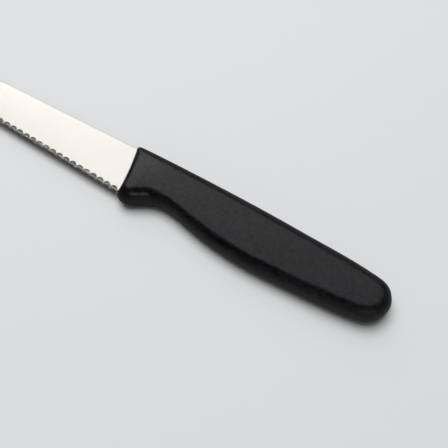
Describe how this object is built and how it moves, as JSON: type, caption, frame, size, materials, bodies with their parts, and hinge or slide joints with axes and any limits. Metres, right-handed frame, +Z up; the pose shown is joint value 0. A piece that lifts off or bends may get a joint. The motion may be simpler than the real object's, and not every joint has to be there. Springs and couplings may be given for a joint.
{
  "type": "serrated vegetable knife",
  "caption": "Small vegetable knife: pointed steel blade with a scalloped edge ground on one face, and a black plastic handle with flat sides and a finger guard, moulded over the tang",
  "frame": {"origin": "Under the middle of the knife's bounding box, on the surface that the knife lies on", "axes": "+X runs along the knife from the blade's tip towards the butt of the handle, +Y from the cutting edge towards the spine, +Z up through the knife's thickness, with the scalloped face upwards"},
  "size_m": [0.2168, 0.025, 0.0117],
  "materials": {
    "blade": "satin, finely ground along the blade",
    "handle": "matt black with a fine moulded grain"
  },
  "bodies": {
    "root": {"blade": "blade", "handle": "handle"}
  },
  "joints": []
}
